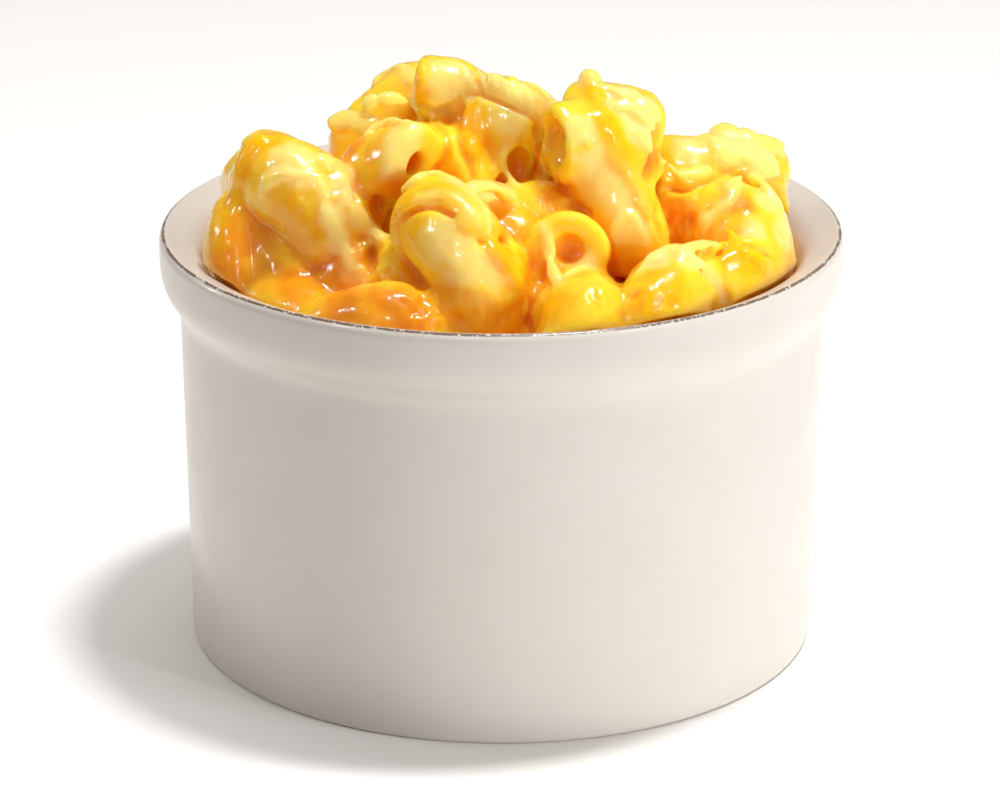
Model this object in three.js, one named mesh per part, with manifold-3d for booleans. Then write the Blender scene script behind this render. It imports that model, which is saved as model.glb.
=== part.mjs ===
// Mac and cheese in its bowl: a round cream ramekin with a rounded rim band, filled with elbow
// macaroni in cheese sauce that is heaped above the rim.
//
// Millimetres, +Z up. The origin is the middle of the bowl's base, and the front faces -Y.
// There are two bodies: the bowl, and the heap, in which the elbows and the shreds of melted
// cheese on top are fused to a core of sauced macaroni that fills the bowl.

import * as THREE from 'three';
import { mergeVertices } from 'three/addons/utils/BufferGeometryUtils.js';
import Module from 'manifold-3d';

const wasm = await Module();
wasm.setup();

// ---- the bowl: radii are measured from its axis, heights from its base ----

const BOWL_HEIGHT = 56;
const BAND_RADIUS = 45; // the widest part of the rim band
const BAND_WIDEST_LOW = 52.5; // the band is at its widest between these two heights
const BAND_WIDEST_HIGH = 54.5;
const BAND_FOOT = 44.5; // where the wall starts to swell into the band
const RIM_EDGE_RADIUS = 44.2; // the highest line of the rim
const WALL_TOP_RADIUS = 42.45; // outside of the wall, just under the band
const BASE_RADIUS = 41.8;
const BASE_ROUNDING = 0.8;
const LIP_RADIUS = 41.9; // the top of the rim slopes down to this inner edge
const LIP_HEIGHT = 55;
const INSIDE_TOP_RADIUS = 38.8; // inside of the wall, where the lip has rounded down into it
const INSIDE_TOP_HEIGHT = 49;
const INSIDE_LOW_RADIUS = 38;
const FLOOR_HEIGHT = 5;
const FLOOR_ROUNDING = 4;
const BOWL_SIDES = 64;

// ---- the heap ----

const CLEARANCE = 0.4; // between the food and the bowl
const CORE_SIDES = 36;
const CORE_EDGE_HEIGHT = 47; // the core's upper edge against the wall
const CORE_SHOULDER_RADIUS = 31;
const CORE_SHOULDER_HEIGHT = 51;
const CORE_TOP_HEIGHT = 65;
const HEAP_CEILING = 90; // above everything that is heaped
const HEAP_REACH = 41.6; // the food stays within this radius above the rim

// ---- one elbow of macaroni: a flat-cut tube whose centre line is an arc ----

const BEND_RADIUS = 9;
const FULL_BEND = THREE.MathUtils.degToRad(150);
const BORE_RADIUS = 2.2;
const BORE_DEPTH = 3.6;
const ELBOW_SIDES = 9;
const ELBOW_STEPS = 6;
const END_CLEARANCE = 6.2; // an end shows its bore where no other elbow's centre line is nearer

// Each elbow that is placed by hand: [middle of its centre line, direction of the tube there,
// direction of the outer side of its bend, share of the full bend, radius with its sauce].
const PLACED_ELBOWS = {
  left_slope: [[-23, -16, 62.3], [4, -2, -6], [3, -4, 4], 0.95, 5.8],
  left_behind: [[-30.5, -6, 64], [1, -3, 1], [-1, 0, 2], 0.8, 5.2],
  far_left_low: [[-34.6, -14.8, 56.8], [-1, -3, -3], [-3, -1, 3], 0.9, 5.2],
  left_front_low: [[-26.5, -23.5, 51], [2, -1, 0], [-1, -1, 4], 0.9, 5],
  left_front: [[-14.5, -30, 52.5], [1, 0, 0], [0, -1, 3], 1, 5.6],
  front_big: [[-4.6, -26, 59.5], [5, -4, -8], [3, -6, 5], 0.75, 6.5],
  front_end: [[10, -31, 53.5], [0, 1, 0], [0, -1, 3], 0.8, 5.8],
  front_ring: [[8.4, -18.5, 54], [0, -1, 4], [0, 4, 1], 0.9, 4.9],
  right_front: [[21.8, -26.6, 54.9], [1, 3, 0], [0, -1, 3], 1, 6.2],
  right_low: [[32, -18, 54.7], [1, 2, 0], [0, -1, 3], 0.7, 5.4],
  right_arch: [[29, -11, 59.5], [2, -1, -1], [1, -1, 3], 0.9, 6],
  right_top: [[25.8, -3, 64], [1, 0, -0.06], [0, -1, 0.45], 0.9, 4.8],
  right_tall: [[13.8, -8.4, 72.2], [6, 0, -1], [0, -4, 3], 0.4, 5],
  tall_mouth: [[12.2, -12.7, 69.9], [8, 2.5, -5.5], [5, 2, 8.5], 0.53, 5.1],
  right_lower: [[14.6, -15.2, 64.3], [2.6, -2.6, -5], [2, -5, 3.4], 0.75, 4.9],
  mid_left: [[-16, -10.8, 65.5], [4, -5, 9], [-1, 1, 1], 0.8, 5.2],
  mid_centre: [[0.4, -7, 69.8], [0.25, 0.1, 1], [-0.2, -1, 0.35], 0.5, 5],
  mid_small: [[0, -17, 59.5], [2, -1, -1], [0, -1, 3], 0.8, 4.9],
  peak_back_left: [[-13.5, 6, 69.5], [2, 1, 1], [-1, 0, 2], 1, 5.2],
  peak_left: [[-3, -1, 70.5], [5, 3, -8], [8, -2, 5], 0.8, 5],
  peak_ridge: [[1, 4, 68.7], [3, 0, -1], [0, 0, 1], 1, 5.2],
  gap_left: [[-19.5, -20, 54], [3, -1, 1], [0, -2, 3], 0.8, 5],
  gap_mid: [[3.5, -22, 55.5], [3, -1, -1], [0, -2, 3], 0.8, 5],
  gap_column: [[-7.5, -9, 66.8], [1, -0.3, -0.3], [0, -1, 3], 0.5, 5],
  gap_centre: [[5.6, -14, 60.5], [4, -1, -1], [0, -1, 3], 0.8, 5.2],
  gap_far_left: [[-27, -18, 54.3], [1, -1, -1], [-1, -1, 3], 0.8, 5],
  gap_front_left: [[-11.5, -23, 55.5], [3, -1, -1], [0, -2, 3], 0.6, 5],
  gap_right: [[22, -9, 55.8], [1, 0, 0], [0, -1, 3], 0.7, 5],
  gap_mid_left: [[-20, -3, 60], [1, 1, 0], [0, -1, 3], 0.8, 5],
  back_left: [[-25, 8, 56.5], [1, 2, 0], [-1, 0, 3], 0.9, 5.2],
};

// The rest of the heap is filled by rings of elbows round the axis: [radius, elbows tried].
const FILL_RINGS = [[31, 19], [20.5, 13], [10, 6]];
const FILL_SEED = 7;
const FILL_NEAREST = 6.4; // an elbow nearer than this to one already there is skipped
const FILL_PEAK_HEIGHT = 70; // the cone on which the middles of these elbows lie
const FILL_SLOPE = 0.57;

// ---- shreds of melted cheese that stand proud of the macaroni ----

const SHRED_SIDES = 6;
const SHRED_STEPS = 5;

// Each shred: [start, a point that pulls its curve, end, half its width, half its thickness].
const SHREDS = {
  ridge_a: [[-4, -2, 75.4], [-1, -2, 76.2], [3, -1, 74], 1.3, 0.7],
  ridge_b: [[0, 0, 74.6], [3, 1, 75], [7.5, 1, 70.6], 1.2, 0.7],
  left_stub: [[-21.5, -8, 71.9], [-19, -8.5, 72.7], [-16, -9, 72.3], 1.3, 0.9],
  left_curl: [[-18, -8.5, 72.3], [-17, -9, 76.4], [-12.5, -8, 74.6], 1, 0.8],
  tall_tip: [[10.8, -8, 76.4], [11.1, -8, 80.2], [12.6, -8, 75.8], 1.2, 1],
  right_tip: [[28, -1, 68.2], [32.5, -1, 68.6], [36.1, -1, 66.3], 1.5, 0.7],
  right_sheet: [[25, -4, 67.8], [31, -5, 67.6], [35, -3.5, 64.6], 1.8, 0.7],
  ring_front: [[5.5, -27.5, 62], [6.5, -29.5, 59.5], [8.5, -30, 57.5], 1.2, 0.8],
  right_band: [[19, -26, 62], [25.5, -27.5, 61.5], [28.5, -30, 55.5], 1.5, 0.9],
};

// ---- helpers ----

const vector = (point) => new THREE.Vector3(...point);

// A small generator, so that the heap is the same each time.
function makeDraw(seed) {
  let state = seed;
  return (low, high) => {
    state = (Math.imul(state, 1664525) + 1013904223) >>> 0;
    return low + ((high - low) * state) / 2 ** 32;
  };
}

function toSolid(geometry) {
  const bare = geometry.clone();
  bare.deleteAttribute('normal');
  bare.deleteAttribute('uv');
  const merged = mergeVertices(bare, 1e-4);
  return new wasm.Manifold(new wasm.Mesh({
    numProp: 3,
    vertProperties: new Float32Array(merged.attributes.position.array),
    triVerts: new Uint32Array(merged.index.array),
  }));
}

function toGeometry(solid) {
  const mesh = solid.getMesh();
  const geometry = new THREE.BufferGeometry();
  geometry.setAttribute('position', new THREE.BufferAttribute(mesh.vertProperties, mesh.numProp));
  geometry.setIndex(new THREE.BufferAttribute(mesh.triVerts, 1));
  geometry.computeVertexNormals();
  return geometry;
}

// Turns a profile of (radius, height) points about the vertical axis.
function lathe(profile, sides) {
  const geometry = new THREE.LatheGeometry(profile, sides);
  return geometry.rotateX(Math.PI / 2);
}

// A closed skin over rings of points that all hold the same number, closed by a point at each end.
function skin(startPoint, rings, endPoint) {
  const count = rings[0].length;
  const points = [startPoint, ...rings.flat(), endPoint];
  const last = points.length - 1;
  const triangles = [];
  for (let side = 0; side < count; side += 1) {
    const next = (side + 1) % count;
    triangles.push(0, 1 + side, 1 + next);
    for (let ring = 0; ring < rings.length - 1; ring += 1) {
      const near = 1 + ring * count;
      const far = near + count;
      triangles.push(near + side, far + next, near + next);
      triangles.push(near + side, far + side, far + next);
    }
    const lastRing = last - count;
    triangles.push(last, lastRing + next, lastRing + side);
  }
  const geometry = new THREE.BufferGeometry();
  const positions = points.flatMap((point) => point.toArray());
  geometry.setAttribute('position', new THREE.Float32BufferAttribute(positions, 3));
  geometry.setIndex(triangles);
  return geometry;
}

// ---- the bowl ----

function bowlProfile() {
  const outline = new THREE.Path();
  outline.moveTo(0, 0);
  outline.lineTo(BASE_RADIUS - BASE_ROUNDING, 0);
  outline.quadraticCurveTo(BASE_RADIUS, 0, BASE_RADIUS, BASE_ROUNDING);
  outline.lineTo(WALL_TOP_RADIUS, BAND_FOOT);
  outline.bezierCurveTo(
    WALL_TOP_RADIUS, BAND_FOOT + 3.4,
    BAND_RADIUS, BAND_WIDEST_LOW - 5,
    BAND_RADIUS, BAND_WIDEST_LOW,
  );
  outline.lineTo(BAND_RADIUS, BAND_WIDEST_HIGH);
  outline.quadraticCurveTo(BAND_RADIUS, BOWL_HEIGHT - 0.2, RIM_EDGE_RADIUS, BOWL_HEIGHT);
  outline.lineTo(LIP_RADIUS, LIP_HEIGHT);
  outline.bezierCurveTo(
    LIP_RADIUS - 2.1, LIP_HEIGHT - 0.9,
    INSIDE_TOP_RADIUS + 0.2, INSIDE_TOP_HEIGHT + 3.4,
    INSIDE_TOP_RADIUS, INSIDE_TOP_HEIGHT,
  );
  outline.lineTo(INSIDE_LOW_RADIUS, FLOOR_HEIGHT + FLOOR_ROUNDING);
  outline.quadraticCurveTo(
    INSIDE_LOW_RADIUS, FLOOR_HEIGHT,
    INSIDE_LOW_RADIUS - FLOOR_ROUNDING, FLOOR_HEIGHT,
  );
  outline.lineTo(0, FLOOR_HEIGHT);
  return outline.getPoints(4);
}

// ---- the space inside the bowl and above it, which the food may take ----

function foodSpace() {
  const inside = INSIDE_LOW_RADIUS - CLEARANCE;
  const outline = new THREE.Path();
  outline.moveTo(0, FLOOR_HEIGHT + CLEARANCE);
  outline.lineTo(inside - FLOOR_ROUNDING, FLOOR_HEIGHT + CLEARANCE);
  outline.quadraticCurveTo(
    inside, FLOOR_HEIGHT + CLEARANCE,
    inside, FLOOR_HEIGHT + CLEARANCE + FLOOR_ROUNDING,
  );
  outline.lineTo(INSIDE_TOP_RADIUS - CLEARANCE, INSIDE_TOP_HEIGHT);
  outline.bezierCurveTo(
    INSIDE_TOP_RADIUS - CLEARANCE + 0.1, INSIDE_TOP_HEIGHT + 3.4,
    LIP_RADIUS - 2.5, LIP_HEIGHT - 0.3,
    HEAP_REACH - 0.3, LIP_HEIGHT + CLEARANCE,
  );
  outline.lineTo(HEAP_REACH, BOWL_HEIGHT + CLEARANCE);
  outline.lineTo(HEAP_REACH, HEAP_CEILING);
  outline.lineTo(0, HEAP_CEILING);
  return outline.getPoints(4);
}

function coreProfile() {
  const inside = INSIDE_LOW_RADIUS - CLEARANCE;
  return [
    new THREE.Vector2(0, FLOOR_HEIGHT + CLEARANCE),
    new THREE.Vector2(inside - FLOOR_ROUNDING, FLOOR_HEIGHT + CLEARANCE),
    new THREE.Vector2(inside, FLOOR_HEIGHT + CLEARANCE + FLOOR_ROUNDING),
    new THREE.Vector2(INSIDE_TOP_RADIUS - CLEARANCE, CORE_EDGE_HEIGHT),
    new THREE.Vector2(CORE_SHOULDER_RADIUS, CORE_SHOULDER_HEIGHT),
    new THREE.Vector2(0, CORE_TOP_HEIGHT),
  ];
}

// ---- an elbow, with a blind bore in each end ----

function elbowFrame(along, bulge) {
  const tangent = vector(along).normalize();
  const outer = vector(bulge);
  outer.addScaledVector(tangent, -outer.dot(tangent)).normalize();
  return { tangent, outer, side: outer.clone().cross(tangent) };
}

// A point beside the centre line of an elbow, at an angle along its bend.
function elbowPoint(elbow, angle, radius, turn) {
  const [middle, along, bulge] = elbow;
  const { tangent, outer, side } = elbowFrame(along, bulge);
  const reach = BEND_RADIUS + radius * Math.cos(turn);
  return vector(middle)
    .addScaledVector(tangent, reach * Math.sin(angle))
    .addScaledVector(outer, reach * Math.cos(angle) - BEND_RADIUS)
    .addScaledVector(side, radius * Math.sin(turn));
}

function elbowGeometry(elbow, isFree) {
  const [, , , bend, radius] = elbow;
  const half = (FULL_BEND * bend) / 2;
  const startBore = isFree(elbowPoint(elbow, -half, 0, 0)) ? BORE_DEPTH / BEND_RADIUS : 0;
  const endBore = isFree(elbowPoint(elbow, half, 0, 0)) ? BORE_DEPTH / BEND_RADIUS : 0;
  const stations = [];
  for (let step = 0; step <= ELBOW_STEPS; step += 1) {
    stations.push([half * ((2 * step) / ELBOW_STEPS - 1), radius]);
  }
  if (startBore > 0) {
    stations.unshift([startBore - half, BORE_RADIUS], [-half, BORE_RADIUS]);
  }
  if (endBore > 0) {
    stations.push([half, BORE_RADIUS], [half - endBore, BORE_RADIUS]);
  }
  const rings = stations.map(([angle, ringRadius]) => {
    const ring = [];
    for (let side = 0; side < ELBOW_SIDES; side += 1) {
      ring.push(elbowPoint(elbow, angle, ringRadius, (2 * Math.PI * side) / ELBOW_SIDES));
    }
    return ring;
  });
  return skin(
    elbowPoint(elbow, startBore - half, 0, 0),
    rings,
    elbowPoint(elbow, half - endBore, 0, 0),
  );
}

function centreLine(elbow) {
  const half = (FULL_BEND * elbow[3]) / 2;
  return [-1, -0.5, 0, 0.5, 1].map((share) => elbowPoint(elbow, share * half, 0, 0));
}

// The elbows that fill the heap where none is placed by hand.
function fillingElbows(placed) {
  const draw = makeDraw(FILL_SEED);
  const taken = placed.flatMap(centreLine);
  const elbows = [];
  FILL_RINGS.forEach(([ringRadius, count], ring) => {
    for (let index = 0; index < count; index += 1) {
      const angle = (2 * Math.PI * (index + draw(-0.2, 0.2))) / count + 0.4 * ring;
      const radius = ringRadius + draw(-1.5, 1.5);
      const drop = draw(0, 2.5);
      const turn = draw(-1.3, 1.3);
      const lean = draw(-0.5, 0.5);
      const bend = draw(0.75, 1);
      const size = draw(4.9, 5.6);
      const outward = new THREE.Vector3(Math.cos(angle), Math.sin(angle), 0);
      const round = new THREE.Vector3(-Math.sin(angle), Math.cos(angle), 0);
      const downhill = outward.clone().setZ(-FILL_SLOPE);
      const uphill = outward.clone().multiplyScalar(FILL_SLOPE).setZ(1);
      const middle = outward.clone().multiplyScalar(radius);
      middle.z = FILL_PEAK_HEIGHT - FILL_SLOPE * radius - drop;
      const along = round.clone().multiplyScalar(Math.cos(turn));
      along.addScaledVector(downhill, Math.sin(turn));
      uphill.addScaledVector(round, lean);
      const elbow = [middle.toArray(), along.toArray(), uphill.toArray(), bend, size];
      if (taken.every((point) => point.distanceTo(middle) >= FILL_NEAREST)) {
        elbows.push(elbow);
        taken.push(...centreLine(elbow));
      }
    }
  });
  return elbows;
}

// ---- a shred: a flat strip along a curve, thinner at its ends ----

function shredGeometry([start, pull, end, halfWidth, halfThickness]) {
  const curve = new THREE.QuadraticBezierCurve3(vector(start), vector(pull), vector(end));
  const rings = [];
  for (let step = 0; step <= SHRED_STEPS; step += 1) {
    const share = step / SHRED_STEPS;
    const middle = curve.getPoint(share);
    const direction = curve.getTangent(share);
    const across = direction.clone().cross(new THREE.Vector3(0, 0, 1)).normalize();
    const upward = across.clone().cross(direction);
    const swell = step === 0 || step === SHRED_STEPS ? 0.6 : 1;
    const ring = [];
    for (let side = 0; side < SHRED_SIDES; side += 1) {
      const turn = (2 * Math.PI * side) / SHRED_SIDES;
      ring.push(middle.clone()
        .addScaledVector(across, swell * halfWidth * Math.cos(turn))
        .addScaledVector(upward, swell * halfThickness * Math.sin(turn)));
    }
    rings.push(ring);
  }
  return skin(vector(start), rings, vector(end));
}

// ---- the heap: everything fused, cut to the space in the bowl, as one body ----

// The largest body alone: sealed hollows are bodies of negative volume, loose scraps small ones.
function largestBody(solid) {
  const bodies = solid.decompose();
  return bodies.reduce((best, body) => (body.volume() > best.volume() ? body : best));
}

function heapGeometry() {
  const placed = Object.values(PLACED_ELBOWS);
  const elbows = [...placed, ...fillingElbows(placed)];
  const pieces = elbows.map((elbow) => {
    const others = elbows.filter((other) => other !== elbow).flatMap(centreLine);
    const isFree = (end) => others.every((point) => point.distanceTo(end) > END_CLEARANCE);
    return elbowGeometry(elbow, isFree);
  });
  pieces.push(...Object.values(SHREDS).map(shredGeometry));
  const core = toSolid(lathe(coreProfile(), CORE_SIDES));
  const fused = pieces.reduce((heap, piece) => heap.add(toSolid(piece)), core);
  const trimmed = fused.intersect(toSolid(lathe(foodSpace(), BOWL_SIDES)));
  // Merging vertices once more opens the seams of no width that hold a hollow to the outside.
  const merged = toSolid(toGeometry(trimmed));
  return toGeometry(largestBody(merged));
}

// ---- the scene ----

const group = new THREE.Group();

function addMesh(name, geometry, material) {
  const mesh = new THREE.Mesh(geometry, material);
  mesh.name = name;
  group.add(mesh);
}

addMesh('bowl', lathe(bowlProfile(), BOWL_SIDES), new THREE.MeshStandardMaterial({
  color: 0xf1ebe4,
  roughness: 0.3,
  metalness: 0,
}));

addMesh('macaroni', heapGeometry(), new THREE.MeshStandardMaterial({
  color: 0xf5b52e,
  roughness: 0.35,
  metalness: 0,
}));

export default group;
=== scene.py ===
"""Mac and cheese in its bowl: the looks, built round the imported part.

The bowl is a fine lathe with a satin glaze that has worn off along the edge of the rim. The
heap is one closed skin, taken from a distance field: bent tubes with their bores, the cheese
sauce that coats them and pools between them, and the shreds that have melted on top all run
into each other there. A field is negative inside what it describes. Lengths are in
millimetres until a mesh is made. Pixels are those of the photograph, 1000 x 800.
"""

from math import cos, exp, pi, radians, sin

import bpy
import numpy as np
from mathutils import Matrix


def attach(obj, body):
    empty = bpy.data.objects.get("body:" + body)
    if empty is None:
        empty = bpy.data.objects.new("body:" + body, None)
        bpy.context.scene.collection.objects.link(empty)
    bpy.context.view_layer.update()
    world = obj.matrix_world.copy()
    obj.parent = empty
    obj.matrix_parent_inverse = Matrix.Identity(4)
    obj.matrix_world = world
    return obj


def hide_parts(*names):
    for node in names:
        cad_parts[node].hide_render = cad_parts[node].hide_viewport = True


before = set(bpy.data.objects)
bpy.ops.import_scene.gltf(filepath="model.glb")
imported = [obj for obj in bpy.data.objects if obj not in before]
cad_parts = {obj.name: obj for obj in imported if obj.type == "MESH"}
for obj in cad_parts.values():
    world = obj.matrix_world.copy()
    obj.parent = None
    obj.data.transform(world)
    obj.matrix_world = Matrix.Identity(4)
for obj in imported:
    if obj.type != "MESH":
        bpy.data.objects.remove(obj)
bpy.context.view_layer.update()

import openvdb
from mathutils import Vector

MM = 0.001

# ---- the bowl, as in the part's source: radii from its axis, heights from its base ----

BOWL_HEIGHT = 56
BAND_RADIUS = 45
BAND_WIDEST_LOW = 52.5
BAND_WIDEST_HIGH = 54.5
BAND_FOOT = 44.5
RIM_EDGE_RADIUS = 44.2
WALL_TOP_RADIUS = 42.45
BASE_RADIUS = 41.8
BASE_ROUNDING = 0.8
LIP_RADIUS = 41.9
LIP_HEIGHT = 55
INSIDE_TOP_RADIUS = 38.8
INSIDE_TOP_HEIGHT = 49
INSIDE_LOW_RADIUS = 38
FLOOR_HEIGHT = 5
FLOOR_ROUNDING = 4
BOWL_SEGMENTS = 288
CURVE_POINTS = 14  # on each curve of the bowl's profile

# ---- the heap, as in the part's source ----

CLEARANCE = 0.3  # between the food and the bowl, 0.1 less than in the source
CORE_EDGE_HEIGHT = 47
CORE_SHOULDER_RADIUS = 31
CORE_SHOULDER_HEIGHT = 51
CORE_TOP_HEIGHT = 65
HEAP_REACH = 41.6
BEND_RADIUS = 9
FULL_BEND = radians(150)
END_CLEARANCE = 6.2  # an end is open where no other elbow's centre line is nearer

# Each elbow: [middle of its centre line, direction of the tube there, direction of the outer
# side of its bend, share of the full bend, radius with its sauce].
PLACED_ELBOWS = {
    "left_slope": [(-23, -16, 62.3), (4, -2, -6), (3, -4, 4), 0.95, 5.8],
    "left_behind": [(-30.5, -6, 64), (1, -3, 1), (-1, 0, 2), 0.8, 5.2],
    "far_left_low": [(-34.6, -14.8, 56.8), (-1, -3, -3), (-3, -1, 3), 0.9, 5.2],
    "left_front_low": [(-26.5, -23.5, 51), (2, -1, 0), (-1, -1, 4), 0.9, 5],
    "left_front": [(-14.5, -30, 52.5), (1, 0, 0), (0, -1, 3), 1, 5.6],
    "front_big": [(-4.6, -26, 59.5), (5, -4, -8), (3, -6, 5), 0.75, 6.5],
    "front_end": [(10, -31, 53.5), (0, 1, 0), (0, -1, 3), 0.8, 5.8],
    "front_ring": [(8.4, -18.5, 54), (0, -1, 4), (0, 4, 1), 0.9, 4.9],
    "right_front": [(21.8, -26.6, 54.9), (1, 3, 0), (0, -1, 3), 1, 6.2],
    "right_low": [(32, -18, 54.7), (1, 2, 0), (0, -1, 3), 0.7, 5.4],
    "right_arch": [(29, -11, 59.5), (2, -1, -1), (1, -1, 3), 0.9, 6],
    "right_top": [(25.8, -3, 64), (1, 0, -0.06), (0, -1, 0.45), 0.9, 4.8],
    "right_tall": [(13.8, -8.4, 72.2), (6, 0, -1), (0, -4, 3), 0.4, 5],
    "tall_mouth": [(12.2, -12.7, 69.9), (8, 2.5, -5.5), (5, 2, 8.5), 0.53, 5.1],
    "right_lower": [(14.6, -15.2, 64.3), (2.6, -2.6, -5), (2, -5, 3.4), 0.75, 4.9],
    "mid_left": [(-16, -10.8, 65.5), (4, -5, 9), (-1, 1, 1), 0.8, 5.2],
    "mid_centre": [(0.4, -7, 69.8), (0.25, 0.1, 1), (-0.2, -1, 0.35), 0.5, 5],
    "mid_small": [(0, -17, 59.5), (2, -1, -1), (0, -1, 3), 0.8, 4.9],
    "peak_back_left": [(-13.5, 6, 69.5), (2, 1, 1), (-1, 0, 2), 1, 5.2],
    "peak_left": [(-3, -1, 70.5), (5, 3, -8), (8, -2, 5), 0.8, 5],
    "peak_ridge": [(1, 4, 68.7), (3, 0, -1), (0, 0, 1), 1, 5.2],
    "gap_left": [(-19.5, -20, 54), (3, -1, 1), (0, -2, 3), 0.8, 5],
    "gap_mid": [(3.5, -22, 55.5), (3, -1, -1), (0, -2, 3), 0.8, 5],
    "gap_column": [(-7.5, -9, 66.8), (1, -0.3, -0.3), (0, -1, 3), 0.5, 5],
    "gap_centre": [(5.6, -14, 60.5), (4, -1, -1), (0, -1, 3), 0.8, 5.2],
    "gap_far_left": [(-27, -18, 54.3), (1, -1, -1), (-1, -1, 3), 0.8, 5],
    "gap_front_left": [(-11.5, -23, 55.5), (3, -1, -1), (0, -2, 3), 0.6, 5],
    "gap_right": [(22, -9, 55.8), (1, 0, 0), (0, -1, 3), 0.7, 5],
    "gap_mid_left": [(-20, -3, 60), (1, 1, 0), (0, -1, 3), 0.8, 5],
    "back_left": [(-25, 8, 56.5), (1, 2, 0), (-1, 0, 3), 0.9, 5.2],
}

# The rest of the heap is filled by rings of elbows round the axis: (radius, elbows tried).
FILL_RINGS = [(31, 19), (20.5, 13), (10, 6)]
FILL_SEED = 7
FILL_NEAREST = 6.4
FILL_PEAK_HEIGHT = 70
FILL_SLOPE = 0.57

# ---- what the sauce and the cheese make of it ----

BORE = (1.9, 8)  # of an open end: (radius, depth)
# The ends that the sauce leaves wider, narrower, shallower or shut.
BORES = {
    "front_ring": (2.1, 2.2),
    "mid_left": (1.2, 8),
    "tall_mouth": (3.4, 5),
    "far_left_low": (0, 0),
}
END_ROUNDING = 2

# Openings between the pieces of the heap: (pixel, half width, half height, depth).
POCKETS = {
    "centre_mouth": ((519, 166), 1.7, 2.5, 2.3),
    "left_hole": ((378, 204), 0.8, 1.1, 1.8),
    "left_lens": ((371, 255), 0.8, 2.4, 2),
    "centre_slit": ((499, 240), 1.6, 0.8, 3.4),
    "peak_pocket": ((450, 116), 1.0, 1.0, 1.5),
}

# Shreds that stand proud of the heap, the curl narrower than in the source: (start, pull of
# its curve, end, half width, half thickness).
PROUD_SHREDS = {
    "ridge_a": [(-4, -2, 75.4), (-1, -2, 76.2), (3, -1, 74), 1.3, 0.7],
    "ridge_b": [(0, 0, 74.6), (3, 1, 75), (7.5, 1, 70.6), 1.2, 0.7],
    "left_stub": [(-21.5, -8, 71.9), (-19, -8.5, 72.7), (-16, -9, 72.3), 1.3, 0.9],
    "left_curl": [(-18, -8.5, 72.3), (-17.4, -9, 77), (-12.5, -8, 74.8), 0.8, 0.7],
    "tall_tip": [(10.8, -8, 76.4), (11.1, -8, 80.2), (12.6, -8, 75.8), 1.2, 1],
    "right_tip": [(28, -1, 68.2), (32.5, -1, 68.6), (36.1, -1, 66.3), 1.5, 0.7],
    "right_sheet": [(25, -4, 67.8), (31, -5, 67.6), (35, -3.5, 64.6), 1.8, 0.7],
}

# Shreds that have melted onto the heap: (pixels, half width). The pixels that a shred passes
# are carried along the view onto the heap.
MELTED_SHREDS = {
    "slope_arch": ([(261, 196), (266, 183), (280, 176), (300, 174), (320, 176)], 0.6),
    "slope_run": ([(318, 178), (325, 200), (332, 222), (341, 246), (352, 268)], 0.8),
    "slope_side": ([(334, 168), (346, 186), (352, 208), (364, 224), (380, 238)], 0.9),
    "slope_pile_a": ([(318, 160), (332, 166), (346, 184)], 1.0),
    "slope_pile_b": ([(326, 156), (341, 168), (353, 190)], 0.9),
    "mid_left_ridge": ([(366, 136), (384, 124), (404, 121), (420, 128)], 0.8),
    "front_big_top": (
        [(405, 190), (422, 177), (441, 175), (461, 188), (479, 209), (487, 232)], 0.9,
    ),
    "front_big_line": ([(420, 198), (443, 194), (464, 206), (478, 226)], 0.6),
    "centre_fold": ([(470, 192), (484, 184), (500, 190), (513, 204)], 1.2),
    "centre_lip": ([(506, 146), (503, 160), (507, 176), (517, 187)], 0.5),
    "ring_run": ([(540, 222), (547, 241), (551, 263), (556, 286)], 0.8),
    "ring_branch": ([(580, 267), (570, 273), (559, 282)], 0.6),
    "front_arc": ([(640, 272), (654, 258), (672, 251), (688, 256), (704, 268), (726, 304)], 0.9),
    "right_low_arc": ([(682, 262), (690, 249), (703, 244), (717, 244)], 0.8),
    "arch_run": ([(741, 176), (732, 194), (719, 207), (709, 218), (704, 232)], 0.8),
    "arch_film": ([(747, 178), (766, 188), (778, 210), (786, 240)], 0.9),
    "right_top_a": ([(694, 134), (714, 142), (722, 158)], 1.0),
    "right_top_b": ([(722, 132), (742, 140), (764, 144), (780, 152)], 1.1),
    "right_top_c": ([(734, 150), (756, 160), (776, 168)], 0.9),
    "right_top_d": ([(660, 160), (684, 176), (708, 170)], 0.8),
    "tall_side_a": ([(604, 88), (622, 92), (642, 100), (655, 116)], 1.1),
    "tall_side_b": ([(614, 104), (632, 110), (652, 128)], 1.1),
    "tall_side_c": ([(622, 122), (638, 134), (650, 150)], 0.9),
    "tall_loop": ([(616, 244), (617, 226), (630, 216), (642, 230), (647, 246)], 0.5),
    "ridge_1": ([(464, 68), (468, 76), (474, 90)], 0.6),
    "ridge_2": ([(477, 71), (482, 79), (488, 93)], 0.6),
    "ridge_3": ([(490, 75), (495, 84), (500, 97)], 0.6),
    "ridge_4": ([(502, 81), (507, 89), (511, 101)], 0.6),
    "ridge_5": ([(514, 86), (518, 94), (521, 105)], 0.6),
    "ridge_6": ([(526, 93), (530, 101), (532, 111)], 0.6),
}

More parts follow.
